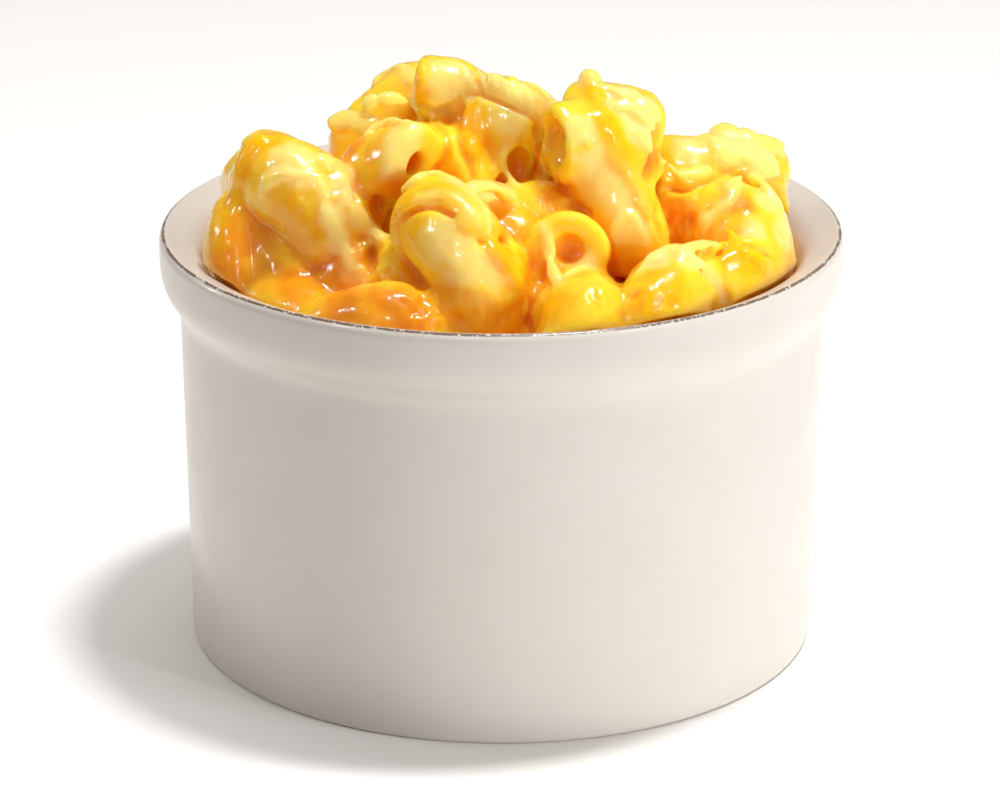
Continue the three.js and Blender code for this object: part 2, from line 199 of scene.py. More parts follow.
# Folds of thick bright sauce, given in the same way.
SAUCE_FOLDS = {
    "slope_edge": ([(262, 140), (246, 155), (238, 178), (236, 208)], 1.1),
    "front_big_fold": ([(400, 206), (418, 191), (440, 190), (462, 206), (480, 232)], 1.2),
    "front_big_skirt": ([(424, 298), (450, 304), (480, 302), (505, 306), (520, 294)], 1.1),
    "front_big_edge": ([(484, 216), (494, 244), (510, 270), (520, 294)], 0.9),
    "tall_band": ([(592, 84), (598, 106), (608, 128), (618, 150), (634, 178), (650, 210)], 1.2),
    "peak_edge": ([(423, 60), (420, 80), (419, 103)], 0.9),
    "arch_edge": ([(736, 170), (758, 172), (776, 185), (788, 212)], 0.7),
    "low_edge": ([(706, 254), (726, 246), (746, 252), (768, 268)], 0.8),
    "low_run": ([(728, 234), (732, 248), (724, 262)], 0.7),
    "centre_side": ([(476, 100), (472, 124), (474, 150)], 1.4),
}

# Furrows between pieces that lie against each other, given in the same way.
FURROWS = {
    "column_top": ([(462, 98), (478, 93), (500, 101), (520, 110), (538, 120)], 0.24),
    "column_left": ([(462, 98), (460, 124), (463, 150), (473, 176)], 0.5),
    "column_right": ([(538, 120), (537, 142), (539, 160), (540, 178)], 0.45),
    "tall_side": ([(648, 112), (655, 132), (652, 156), (648, 180), (656, 210), (664, 238)], 0.5),
    "front_big_top": (
        [(404, 216), (418, 208), (436, 208), (454, 214), (470, 227), (480, 242)], 0.35,
    ),
    "front_big_left": ([(396, 226), (402, 252), (414, 278), (430, 300)], 0.5),
    "front_big_right": ([(486, 208), (494, 228), (506, 244)], 0.6),
    "ring_top": ([(540, 222), (548, 210), (566, 204), (590, 212)], 0.4),
    "arch_top": ([(664, 184), (684, 188), (706, 180), (726, 169), (748, 168), (774, 172)], 0.5),
    "arch_foot": ([(700, 258), (692, 232), (694, 206), (702, 184)], 0.45),
    "low_left": ([(697, 260), (712, 279), (724, 298), (732, 314)], 0.5),
    "low_top": ([(702, 262), (712, 250), (730, 244), (752, 246), (776, 258)], 0.45),
    "mid_left_end": ([(432, 116), (443, 126), (447, 142), (443, 160), (432, 174)], 0.45),
    "peak_foot": ([(420, 104), (434, 112), (448, 108), (460, 100)], 0.45),
}

# The patches of colour on the pasta, by kind: films of pale cheese and gold sauce, deeper orange
# sauce with painted shade, and painted shade alone. For each kind, how crisp their edges are, and
# each patch's (pixel across, pixel down, radius).
FILMS = {
    "pale": (2.4, [
        (470, 88, 2.8), (504, 100, 2.6), (522, 108, 2.2), (450, 92, 3.4), (452, 238, 4.6),
        (472, 268, 3.8), (488, 292, 3.2), (290, 156, 3.2), (300, 172, 2.6), (345, 190, 3),
        (336, 216, 2.4), (404, 140, 3.6), (398, 160, 3), (440, 76, 3.2), (456, 72, 2.6),
        (488, 86, 3), (518, 96, 3), (540, 106, 2.6), (508, 122, 3), (634, 104, 3.8),
        (646, 128, 3.2), (578, 76, 2.4), (598, 168, 3.6), (610, 182, 3.8), (626, 196, 4),
        (634, 232, 3), (580, 128, 2.8), (690, 150, 3.2), (738, 144, 4), (766, 160, 3),
        (768, 200, 2.6), (786, 234, 2.6), (752, 232, 2.4), (656, 258, 2.4), (690, 258, 2.4),
        (580, 262, 2.4), (492, 196, 2.6), (340, 240, 2.2), (356, 274, 2),
    ]),
    "gold": (2.2, [
        (478, 140, 3.2), (410, 214, 4), (450, 303, 3.4), (502, 250, 3.2), (530, 272, 4),
        (552, 306, 3.6), (664, 288, 4.4), (718, 250, 3.2), (606, 128, 2.6), (236, 170, 3.4),
        (424, 84, 2.6), (440, 168, 3.6), (750, 262, 3), (372, 150, 3.2), (790, 262, 2.6),
        (736, 200, 3.4), (270, 138, 3), (214, 238, 4), (222, 210, 3.4), (286, 212, 3.6),
        (304, 236, 3.8), (650, 300, 3),
    ]),
    # Deeper orange sauce with painted shade: most of these darken the shaded low left and the
    # crevices.
    "amber_shade": (1.6, [
        (250, 240, 5), (230, 270, 4.4), (322, 276, 2.8), (288, 284, 4), (354, 262, 4.4),
        (390, 300, 4.4), (340, 300, 4), (416, 314, 3.6), (652, 160, 2.6), (680, 214, 4),
        (500, 222, 3.2), (388, 190, 3.4), (556, 196, 3), (502, 252, 2.6), (736, 204, 2.6),
        (352, 148, 2.8),
    ]),
    # Painted shade: dark patches over the low front and left of the heap, which lie in shade.
    "painted_shade": (1.2, [
        (250, 284, 3.6), (272, 264, 3.2), (350, 302, 5), (398, 310, 4.6), (330, 290, 3.6),
        (372, 252, 2.6),
    ]),
}
FILM_RAGGED = 0.1  # how far noise shifts the edges, as a share of the radius

BEAD_SPACING = 0.35  # along a run
SWAY = 0.25  # how far a run strays, in half widths, and its width varies, as a share
LIFT = 0.15  # of a shred or a fold off the skin that it lies on
SHRED_HALF_THICKNESS = 0.45
FOLD_HALF_THICKNESS = 0.5
FURROW_DEPTH = 0.9
BACK_SHREDS = 26  # on the sides that the photograph doesn't show
BACK_HALF_THICKNESS = 0.5
BACK_SEED = 31
RUN_SEED = 12
FURROW_SEED = 5

# ---- the lights, and the camera, fitted to the rim, the band and the base in the photo ----

FRAME_WIDTH = 1000
FRAME_HEIGHT = 800
FOCAL_PIXELS = 4036
SENSOR_WIDTH = 36
CAMERA_DISTANCE = 540
CAMERA_ELEVATION = radians(20.08)
CAMERA_BACK = (0, -cos(CAMERA_ELEVATION), sin(CAMERA_ELEVATION))
LOOK_AT = np.array([-0.19, 0, 31.28])
HEAP_NEAR = CAMERA_DISTANCE - 70  # the camera has the heap between these depths
HEAP_FAR = CAMERA_DISTANCE + 50
FLOOR_REACH = 3000

# Lights: (name, place and (width, height) in metres, power), and where it isn't the usual one,
# whether gloss mirrors it, and its colour.
LIGHTS = [
    ("key", (0.15, 0.03, 0.8), (0.07, 0.13), 4.3),
    ("top", (-0.08, 0.25, 1.2), (0.8, 0.8), 6, False),
    ("side", (0.8, -0.44, 0.12), (0.3, 0.3), 6.5, False, (0.95, 0.99, 1)),
    ("left", (-0.5, -0.3, 0.5), (0.01, 0.08), 0.6),
    ("front", (-0.15, -0.7, 0.65), (0.01, 0.08), 0.55),
    ("right", (0.5, -0.45, 0.6), (0.01, 0.08), 0.55),
    ("behind_left", (-0.75, 0.25, 0.25), (0.02, 0.1), 0.5),
]

# ---- the field ----

STEP = 0.38
HEAP_TRIANGLES = 190000
FIELD_LOW = (-42.5, -42.5, 44.5)
FIELD_HIGH = (42.5, 42.5, 83)
FAR = 3.0  # an elbow is felt this far outside its skin
OUTSIDE = 9.0  # what a field is taken to be outside its grid
CRISP_JOIN = 0.25  # how far elbows run into each other where there is little sauce
POOLED_JOIN = 0.6  # and where there is much
CORE_JOIN = 1.5  # the core is rounded into the elbows over this width, and so on
FURROW_JOIN = 0.9
POCKET_JOIN = 1.0
FOLD_JOIN = 0.9
SHRED_JOIN = 0.5
BOWL_JOIN = 0.5
SMOOTHING = 0.9  # of the skin before its normals are taken for a run
PRESS_RADIUS = 36.3  # beyond it the heap is pressed inward
PRESS = 0.09  # per mm
LUMP_HEIGHT = 0.22
PATCH_HEIGHT = 0.2  # of the patches where the coat is thicker and wrinkled
RIPPLE_HEIGHT = 0.05
THICK_SAUCE = 1.6  # over a bare elbow
DEEP_BLUR = 2.6  # a place is deep where this blur of the heap is nearly solid

# Noise that makes the coat and the films uneven: (sizes of its lumps, seed).
WETNESS = ((9, 9, 9), 3)
LUMPS = ((7, 7, 7), 4)
PATCHES = ((8, 8, 8), 5)
WRINKLES = ((1.5, 1.5, 3), 6)
RIPPLES = ((2.2, 2.2, 2.2), 9)
RAGGED = ((2.4, 2.4, 2.4), 8)

# What is laid over the sauce colour, lowest first: films, painted shade, folds and shreds, each as
# (mark on the skin, how far it covers, colour).
LAYERS = [
    ("gold", 0.9, (1, 0.46, 0.001)),
    # Deeper orange sauce with painted shade over the low left and in crevices.
    ("amber_shade", 0.9, (0.82, 0.27, 0.005)),
    # Painted shade: the dark patches over the low front and left.
    ("painted_shade", 0.75, (0.5, 0.17, 0.006)),
    ("pale", 0.85, (1, 0.69, 0.22)),
    ("fold", 0.9, (1, 0.47, 0.002)),
    ("shred", 0.85, (1, 0.73, 0.25)),
]


# ---- small helpers ----

def unit(v):
    v = np.asarray(v, float)
    return v / np.linalg.norm(v)


def along(away, direction):
    """How far places lie along a direction, from how far they lie along the axes."""
    return sum(a * np.float32(v) for a, v in zip(away, direction))


def soft_max(a, b, width):
    """The greater of a and b, rounded over where they differ by less than width."""
    near = np.maximum(width - np.abs(a - b), 0) / width
    return np.maximum(a, b) + near * near * (width / 4)


def soft_min(a, b, width):
    """The less of a and b, rounded over in the same way."""
    return -soft_max(-a, -b, width)


def bezier(start, pull_a, pull_b, end, count):
    """Points after the start on a cubic curve, up to its end."""
    points = []
    for index in range(1, count + 1):
        t = index / count
        s = 1 - t
        weights = (s ** 3, 3 * s * s * t, 3 * s * t * t, t ** 3)
        points.append(tuple(
            sum(w * p[axis] for w, p in zip(weights, (start, pull_a, pull_b, end)))
            for axis in range(2)
        ))
    return points


def corner(start, pull, end, count):
    """Points after the start on a quadratic curve, up to its end."""
    third_a = tuple(s + 2 / 3 * (p - s) for s, p in zip(start, pull))
    third_b = tuple(e + 2 / 3 * (p - e) for e, p in zip(end, pull))
    return bezier(start, third_a, third_b, end, count)


def line(start, end, count):
    """Points after the start on a straight line, up to its end."""
    return [
        tuple(s + (e - s) * index / count for s, e in zip(start, end))
        for index in range(1, count + 1)
    ]


def smooth_curve(points, spacing):
    """Points about `spacing` apart on a Catmull-Rom curve through the given ones."""
    points = np.asarray(points, float)
    padded = np.vstack([2 * points[0] - points[1], points, 2 * points[-1] - points[-2]])
    pieces = []
    for before, start, end, after in zip(padded, padded[1:], padded[2:], padded[3:]):
        count = max(2, int(round(np.linalg.norm(end - start) / spacing)))
        t = (np.arange(count) / count)[:, None]
        pieces.append(0.5 * (
            2 * start + (end - before) * t
            + (2 * before - 5 * start + 4 * end - after) * t ** 2
            + (3 * start - before - 3 * end + after) * t ** 3
        ))
    pieces.append(points[-1:])
    return np.vstack(pieces)


def add_object(name, data):
    """An object in the scene, from its mesh, light or camera."""
    thing = bpy.data.objects.new(name, data)
    bpy.context.scene.collection.objects.link(thing)
    return thing


def make_mesh(name, points, faces):
    """A smooth-shaded piece, from points in millimetres."""
    mesh = bpy.data.meshes.new(name)
    mesh.from_pydata((np.asarray(points) * MM).tolist(), [], faces)
    mesh.validate()
    mesh.polygons.foreach_set("use_smooth", [True] * len(mesh.polygons))
    mesh.update()
    return add_object(name, mesh)


def lathe(name, profile, segments):
    """A closed body from a profile of (radius, height) points that starts and ends on the axis."""
    ring_profile = profile[1:-1]
    count = len(ring_profile)
    points = [(0, 0, profile[0][1])]
    for segment in range(segments):
        angle = 2 * pi * segment / segments
        points += [(r * cos(angle), r * sin(angle), z) for r, z in ring_profile]
    points.append((0, 0, profile[-1][1]))
    last = len(points) - 1
    faces = []
    for segment in range(segments):
        here = 1 + segment * count
        there = 1 + ((segment + 1) % segments) * count
        faces.append((0, there, here))
        for k in range(count - 1):
            faces.append((here + k, there + k, there + k + 1, here + k + 1))
        faces.append((last, here + count - 1, there + count - 1))
    return make_mesh(name, points, faces)


# ---- the grid on which the heap's distance field lives ----

class Grid:
    """Evenly spaced points in a box."""

    def __init__(self, low, high, step):
        self.low = np.array(low, np.float32)
        self.step = step
        self.shape = tuple(int((h - l) / step) + 1 for l, h in zip(low, high))

    def window(self, low, high):
        """The slices of the grid inside a box, and its axes, ready to be broadcast."""
        slices = []
        axes = []
        for axis in range(3):
            first = int(max(0, (low[axis] - self.low[axis]) // self.step))
            last = int(min(self.shape[axis], (high[axis] - self.low[axis]) // self.step + 2))
            last = max(first, last)
            slices.append(slice(first, last))
            steps = np.arange(first, last, dtype=np.float32)
            axes.append(self.laid_along(axis, self.low[axis] + self.step * steps))
        return tuple(slices), axes

    def laid_along(self, axis, values):
        """The values laid along one axis of the grid."""
        return values.reshape([-1 if k == axis else 1 for k in range(3)])

    def whole(self):
        high = self.low + self.step * np.array(self.shape)
        return self.window(self.low, high)[1]

    def sample(self, field, points):
        """The field between the grid's points, and OUTSIDE where there is no grid."""
        place = (np.asarray(points, np.float32) - self.low) / self.step
        last = np.array(self.shape) - 1.001
        inside = np.all((place >= 0) & (place < last), axis=-1)
        place = np.clip(place, 0, last)
        cell = place.astype(int)
        share = place - cell
        total = 0
        for corner_index in range(8):
            offset = [(corner_index >> axis) & 1 for axis in range(3)]
            weight = 1
            for axis in range(3):
                weight = weight * (share[..., axis] if offset[axis] else 1 - share[..., axis])
            corner_cell = tuple(cell[..., axis] + offset[axis] for axis in range(3))
            total = total + weight * field[corner_cell]
        return np.where(inside, total, OUTSIDE)

    def slope(self, field, points):
        """The direction in which the field grows, which is the outward normal on a skin."""
        reach = 1.5 * self.step
        columns = []
        for axis in range(3):
            shift = np.zeros(3)
            shift[axis] = reach
            ahead = self.sample(field, points + shift)
            columns.append(ahead - self.sample(field, points - shift))
        slope = np.stack(columns, -1)
        return slope / np.maximum(np.linalg.norm(slope, axis=-1, keepdims=True), 1e-6)

    def waves(self):
        """The frequencies along each axis of the grid, as its Fourier transform has them."""
        frequencies = [np.fft.fftfreq(count, self.step) for count in self.shape[:2]]
        frequencies.append(np.fft.rfftfreq(self.shape[2], self.step))
        return [self.laid_along(axis, values) for axis, values in enumerate(frequencies)]

    def blurred(self, field, size):
        """The field blurred by a bell of this deviation."""
        spectrum = np.fft.rfftn(field)
        for waves in self.waves():
            spectrum *= np.exp(-2 * (pi * waves * size) ** 2)
        return np.fft.irfftn(spectrum, self.shape).astype(np.float32)

    def noise(self, sizes, seed):
        """Noise of deviation 1 whose lumps have about these sizes along the three axes."""
        white = np.random.default_rng(seed).standard_normal(self.shape, dtype=np.float32)
        spectrum = np.fft.rfftn(white)
        for waves, size in zip(self.waves(), sizes):
            spectrum *= np.exp(-0.5 * (pi * waves * size * 0.6) ** 2)
        noise = np.fft.irfftn(spectrum, self.shape)
        return (noise / noise.std()).astype(np.float32)


# ---- elbows ----

def elbow_frame(tube, bulge):
    """The directions along an elbow, to the outside of its bend and across it."""
    tangent = unit(tube)
    outer = np.asarray(bulge, float)
    outer = unit(outer - tangent * outer.dot(tangent))
    return tangent, outer, np.cross(outer, tangent)


def centre_line(elbow):
    """Five points along the centre line of an elbow, its ends included."""
    middle, tube, bulge, bend, _ = elbow
    tangent, outer, _ = elbow_frame(tube, bulge)
    angles = FULL_BEND * bend / 2 * np.array([-1, -0.5, 0, 0.5, 1])[:, None]
    run = tangent * BEND_RADIUS * np.sin(angles)
    return np.asarray(middle) + run + outer * BEND_RADIUS * (np.cos(angles) - 1)


def make_draw(seed):
    """The small generator that the part's source has, so that both heaps are the same."""
    state = seed

    def draw(low, high):
        nonlocal state
        state = (state * 1664525 + 1013904223) % 2 ** 32
        return low + (high - low) * state / 2 ** 32

    return draw


def filling_elbows(placed):
    """The elbows that fill the heap where none is listed."""
    draw = make_draw(FILL_SEED)
    taken = [point for elbow in placed for point in centre_line(elbow)]
    elbows = {}
    for ring, (ring_radius, count) in enumerate(FILL_RINGS):
        for index in range(count):
            angle = 2 * pi * (index + draw(-0.2, 0.2)) / count + 0.4 * ring
            radius = ring_radius + draw(-1.5, 1.5)
            drop = draw(0, 2.5)
            turn = draw(-1.3, 1.3)
            lean = draw(-0.5, 0.5)
            bend = draw(0.75, 1)
            size = draw(4.9, 5.6)
            outward = np.array([cos(angle), sin(angle), 0])
            around = np.array([-sin(angle), cos(angle), 0])
            downhill = outward + np.array([0, 0, -FILL_SLOPE])
            uphill = FILL_SLOPE * outward + np.array([0, 0, 1])
            middle = outward * radius
            middle[2] = FILL_PEAK_HEIGHT - FILL_SLOPE * radius - drop
            tube = around * cos(turn) + downhill * sin(turn)
            elbow = [middle, tube, uphill + around * lean, bend, size]
            if all(np.linalg.norm(point - middle) >= FILL_NEAREST for point in taken):
                elbows[f"fill_{ring}_{index}"] = elbow
                taken.extend(centre_line(elbow))
    return elbows


def pressed(axes):
    """The axes stretched near the rim, so that what meets the bowl is pressed flat, not cut."""
    x, y, z = axes
    radius = np.maximum(np.hypot(x, y), 1)
    stretch = 1 + PRESS * np.maximum(radius - PRESS_RADIUS, 0) ** 2 / radius
    return x * stretch, y * stretch, z


def elbow_field(axes, elbow, bores):
    """The distance to an elbow's skin. bores holds (radius, depth) for each end, 0 if shut."""
    middle, tube, bulge, bend, radius = elbow
    elbow_axes = elbow_frame(tube, bulge)
    away = [axis - centre for axis, centre in zip(pressed(axes), middle)]
    run, up, across = (along(away, axis) for axis in elbow_axes)
    up += BEND_RADIUS
    half = FULL_BEND * bend / 2
    angle = np.arctan2(run, up)
    reach = np.hypot(run, up)
    off_line = np.hypot(reach - BEND_RADIUS, across)
    rounding = min(END_ROUNDING, 0.5 * (radius - max(bores)[0]))
    field = soft_max(off_line - radius, reach * (np.abs(angle) - half), rounding)
    for sign, (bore, depth) in zip((-1, 1), bores):
        if bore:
            past_end = reach * (sign * angle - half)
            hole = soft_max(off_line - bore, -past_end - depth, 1)
            field = soft_max(field, -hole, 0.6 * rounding)
    return field


def join_elbows(grid, elbows):
    """Three fields of all the elbows: bare, with their joins rounded a little, and pooled."""
    bare = np.full(grid.shape, FAR, np.float32)
    crisp = np.full(grid.shape, exp(-FAR / CRISP_JOIN), np.float32)
    pooled = np.full(grid.shape, exp(-FAR / POOLED_JOIN), np.float32)
    lines = {name: centre_line(elbow) for name, elbow in elbows.items()}
    for name, elbow in elbows.items():
        others = np.vstack([points for other, points in lines.items() if other != name])
        bores = []
        for end in (lines[name][0], lines[name][-1]):
            is_open = np.linalg.norm(others - end, axis=1).min() > END_CLEARANCE
            bores.append(BORES.get(name, BORE) if is_open else (0, 0))
        reach = elbow[4] + FAR
        low = lines[name].min(0) - reach - 1
        high = lines[name].max(0) + reach + 1
        slices, axes = grid.window(low, high)
        field = np.clip(elbow_field(axes, elbow, bores), -6, None)
        bare[slices] = np.minimum(bare[slices], field)
        crisp[slices] += np.exp(-field / CRISP_JOIN)
        pooled[slices] += np.exp(-field / POOLED_JOIN)
    return bare, -CRISP_JOIN * np.log(crisp), -POOLED_JOIN * np.log(pooled)


def core_field(grid):
    """About the distance to the top of the macaroni that fills the bowl."""
    x, y, z = grid.whole()
    radius = np.hypot(x, y)
    inside = INSIDE_TOP_RADIUS - CLEARANCE
    heights = [CORE_TOP_HEIGHT, CORE_SHOULDER_HEIGHT, CORE_EDGE_HEIGHT]
    top = np.interp(radius, [0, CORE_SHOULDER_RADIUS, inside], heights).astype(np.float32)
    return (z - top) * 0.9


def bowl_room(grid):
    """The distance to the space inside the bowl and above it, which the food may take."""
    x, y, z = grid.whole()
    inside = INSIDE_TOP_RADIUS - CLEARANCE
    lip = bezier(
        (inside, INSIDE_TOP_HEIGHT), (inside + 0.1, INSIDE_TOP_HEIGHT + 3.4),
        (LIP_RADIUS - 2.5, LIP_HEIGHT - CLEARANCE), (HEAP_REACH - 0.3, LIP_HEIGHT + CLEARANCE),
        CURVE_POINTS,
    )
    heights = [FIELD_LOW[2], INSIDE_TOP_HEIGHT, *(point[1] for point in lip), BOWL_HEIGHT]
    radii = [inside - 0.1, inside, *(point[0] for point in lip), HEAP_REACH]
    limit = np.interp(z, heights, radii).astype(np.float32)
    return soft_max((np.hypot(x, y) - limit) * 0.8, (FIELD_LOW[2] + 0.8) - z, 0.3)


# ---- runs of cheese laid on the heap ----

def view_ray(pixels):
    """The camera's place, and the directions in which it sees these pixels."""
    back = np.array(CAMERA_BACK)
    upward = np.array([0, sin(CAMERA_ELEVATION), cos(CAMERA_ELEVATION)])
    place = LOOK_AT + back * CAMERA_DISTANCE
    across = (pixels[:, :1] - FRAME_WIDTH / 2) / FOCAL_PIXELS
    down = (pixels[:, 1:] - FRAME_HEIGHT / 2) / FOCAL_PIXELS
    rays = -back + across * np.array([1.0, 0, 0]) - down * upward
    return place, rays


def first_hit(grid, field, pixel):
    """The first point of the heap that is seen through a pixel, and the way the ray goes."""
    place, rays = view_ray(np.array([pixel], float))
    depths = np.arange(HEAP_NEAR, HEAP_FAR, 0.2)
    points = place + rays[0] * depths[:, None]
    hit = grid.sample(field, points) < 0
    return (points[hit.argmax()] if hit.any() else None), unit(rays[0])


def laid_run(grid, field, pixels):
    """The points of the heap that a run of pixels crosses. It hangs across narrow gaps."""
    pixels = smooth_curve(pixels, BEAD_SPACING * FOCAL_PIXELS / CAMERA_DISTANCE)
    place, rays = view_ray(pixels)
    depths = np.arange(HEAP_NEAR, HEAP_FAR, 0.25)
    points = place + rays[:, None, :] * depths[None, :, None]
    hit = grid.sample(field, points) < 0
    found = hit.any(axis=1)
    if not found.any():
        return np.zeros((0, 3))
    first = found.argmax()
    last = len(found) - found[::-1].argmax()
    rays = rays[first:last]
    found = found[first:last]
    depth = depths[hit[first:last].argmax(axis=1)]
    order = np.arange(len(depth))
    depth = np.interp(order, order[found], depth[found])
    steepest = 1.2 * BEAD_SPACING
    for index in order[1:]:
        depth[index] = min(depth[index], depth[index - 1] + steepest)
    for index in order[-2::-1]:
        depth[index] = min(depth[index], depth[index + 1] + steepest)
    padded = np.pad(depth, 3, mode="edge")
    depth = np.convolve(padded, np.ones(7) / 7, mode="valid")
    return place + rays * depth[:, None]


def wandering_run(grid, field, draw, length):
    """A run that wanders over the back or a side of the heap from a drawn start."""
    angle = draw.uniform(radians(5), radians(175))
    radius = draw.uniform(6, 34)
    point = np.array([radius * cos(angle), radius * sin(angle), 80.0])
    while grid.sample(field, point[None])[0] > 0 and point[2] > 48:
        point[2] -= 0.3
    heading = draw.uniform(0, 2 * pi)
    points = []
    for _ in range(int(length / BEAD_SPACING)):
        normal = grid.slope(field, point[None])[0]
        ahead = np.array([cos(heading), sin(heading), 0])
        ahead = unit(ahead - normal * ahead.dot(normal) + np.array([0, 0, 1e-6]))
        points.append(point)
        point = point + BEAD_SPACING * ahead
        for _ in range(3):
            normal = grid.slope(field, point[None])[0]
            point = point - normal * np.clip(grid.sample(field, point[None])[0], -0.4, 0.4)
        heading += draw.normal(0, 0.08)
    return np.array(points)


def sway(draw, count):
    """Smooth noise of deviation 1 along a run of beads."""
    return np.convolve(draw.normal(0, 1, count + 12), np.hanning(13) / 2.1, mode="valid")


def lay_strip(grid, strip, points, normals, half_width, half_thickness, draw):
    """Adds an uneven run of flattened beads along the points to the field of the strips."""
    count = len(points)
    sideways = np.cross(normals, np.gradient(points, axis=0))
    sideways /= np.maximum(np.linalg.norm(sideways, axis=1, keepdims=True), 1e-6)
    points = points + SWAY * half_width * sway(draw, count)[:, None] * sideways
    swells = np.clip(1 + SWAY * sway(draw, count), 0.5, 1.6)
    reach = 1.6 * half_width + 1
    for index, (point, normal) in enumerate(zip(points, normals)):
        from_end = min(index, count - 1 - index) * BEAD_SPACING
        swell = swells[index] * min(1, 0.5 + from_end / 3)
        slices, axes = grid.window(point - reach, point + reach)
        if any(s.stop <= s.start for s in slices):
            continue
        away = [axis - np.float32(centre) for axis, centre in zip(axes, point)]
        height = along(away, normal)
        square = sum(a * a for a in away)
        flat = np.maximum(square - height * height, 0)
        wide = np.float32(half_width * swell)
        thick = np.float32(half_thickness * min(swell, 1.1))
        near = np.sqrt(flat / wide ** 2 + height ** 2 / thick ** 2)
        steep = np.sqrt(flat / wide ** 4 + height ** 2 / thick ** 4)
        bead = near * (near - 1) / np.maximum(steep, 1e-4)
        strip[slices] = np.minimum(strip[slices], bead)


def steady(normals):
    """The normals along a run, each averaged with those near it."""
    padded = np.pad(normals, ((4, 4), (0, 0)), mode="edge")
    kernel = np.ones(9) / 9
    smooth = np.stack([np.convolve(padded[:, k], kernel, mode="valid") for k in range(3)], -1)
    return smooth / np.linalg.norm(smooth, axis=1, keepdims=True)


def lay_on(grid, strip, smooth, points, half_width, half_thickness, lift, draw):
    """Lays a strip along points of the skin, lifted off it a little."""
    normals = steady(grid.slope(smooth, points))
    lay_strip(grid, strip, points + lift * normals, normals, half_width, half_thickness, draw)


def lay_runs(grid, strip, field, smooth, runs, half_thickness, lift, draw):
    """Lays a strip where each run of pixels falls on the skin of the field."""
    for pixels, half_width in runs.values():
        points = laid_run(grid, field, pixels)
        if len(points) > 1:
            lay_on(grid, strip, smooth, points, half_width, half_thickness, lift, draw)


def lay_cheese(grid, base):
    """The fields of the melted shreds and of the folds of thick sauce."""
    shreds = np.full(grid.shape, FAR, np.float32)
    folds = np.full(grid.shape, FAR, np.float32)
    smooth = grid.blurred(base, SMOOTHING)
    draw = np.random.default_rng(RUN_SEED)
    lay_runs(grid, shreds, base, smooth, MELTED_SHREDS, SHRED_HALF_THICKNESS, LIFT, draw)
    lay_runs(grid, folds, base, smooth, SAUCE_FOLDS, FOLD_HALF_THICKNESS, LIFT, draw)
    draw = np.random.default_rng(BACK_SEED)
    for _ in range(BACK_SHREDS):
        points = wandering_run(grid, base, draw, draw.uniform(7, 16))
        half_width = draw.uniform(0.8, 1.3)
        lay_on(grid, shreds, smooth, points, half_width, BACK_HALF_THICKNESS, LIFT, draw)
    for start, pull, end, half_width, half_thickness in PROUD_SHREDS.values():
        t = np.linspace(0, 1, 30)[:, None]
        start, pull, end = np.array(start), np.array(pull), np.array(end)
        points = (1 - t) ** 2 * start + 2 * t * (1 - t) * pull + t ** 2 * end
        normals = np.tile([0.0, -0.5, 0.86], (len(points), 1))
        lay_strip(grid, shreds, points, normals, half_width, half_thickness, draw)
    return shreds, folds


def press_furrows(grid, field):
    """The field with its furrows pressed into it."""
    furrows = np.full(grid.shape, FAR, np.float32)
    smooth = grid.blurred(field, SMOOTHING)
    draw = np.random.default_rng(FURROW_SEED)
    lay_runs(grid, furrows, field, smooth, FURROWS, FURROW_DEPTH, 0, draw)
    return soft_max(field, -furrows, FURROW_JOIN)


def carve_pockets(grid, field):
    """The field with its openings cut into it along the view."""
    for pixel, half_width, half_height, depth in POCKETS.values():
        centre, ahead = first_hit(grid, field, pixel)
        if centre is None:
            continue
        upward = unit(np.array([0, 0, 1]) - ahead * ahead[2])
        sideways = np.cross(ahead, upward)
        slices, axes = grid.window(centre - depth - 3, centre + depth + 3)
        away = [axis - np.float32(c) for axis, c in zip(axes, centre)]
        inward, across, over = (along(away, axis) for axis in (ahead, sideways, upward))
        square = (across / half_width) ** 2 + (over / half_height) ** 2 + (inward / depth) ** 2
        hole = (np.sqrt(square) - 1) * min(half_width, half_height)
        field[slices] = soft_max(field[slices], -hole, POCKET_JOIN)
    return field


def film_cover(grid, field, places, films, edge, ragged):
    """How far places on the skin are under patches of film or painted shade, from 0 to 1."""
    cover = np.zeros(len(places))
    for across, down, radius in films:
        centre, _ = first_hit(grid, field, (across, down))
        if centre is not None:
            away = np.linalg.norm(places - centre, axis=1)
            cover = np.maximum(cover, edge * (1 - away / radius + FILM_RAGGED * ragged))
    return np.clip(cover, 0, 1)


# ---- the skin of the heap ----

def thin(piece, triangles):
    """Brings a piece's mesh down to a number of triangles, its flattest parts first."""
    modifier = piece.modifiers.new("thin", "DECIMATE")
    modifier.ratio = min(1, triangles / (2 * len(piece.data.polygons)))
    modifier.use_collapse_triangulate = True
    seen = piece.evaluated_get(bpy.context.evaluated_depsgraph_get())
    mesh = bpy.data.meshes.new_from_object(seen)
    piece.modifiers.clear()
    piece.data = mesh
    mesh.name = piece.name


def largest_part(points, faces):
    """The largest connected part: sealed hollows inside the heap have skins of their own."""
    labels = np.arange(len(points))
    edges = np.vstack([faces[:, [k, (k + 1) % 4]] for k in range(4)])
    while True:
        lower = np.minimum(labels[edges[:, 0]], labels[edges[:, 1]])
        before = labels.copy()
        np.minimum.at(labels, edges[:, 0], lower)
        np.minimum.at(labels, edges[:, 1], lower)
        labels = labels[labels]
        if np.array_equal(labels, before):
            break
    names, sizes = np.unique(labels, return_counts=True)
    keep = labels == names[sizes.argmax()]
    number = np.cumsum(keep) - 1
    return points[keep], number[faces[keep[faces[:, 0]]]]


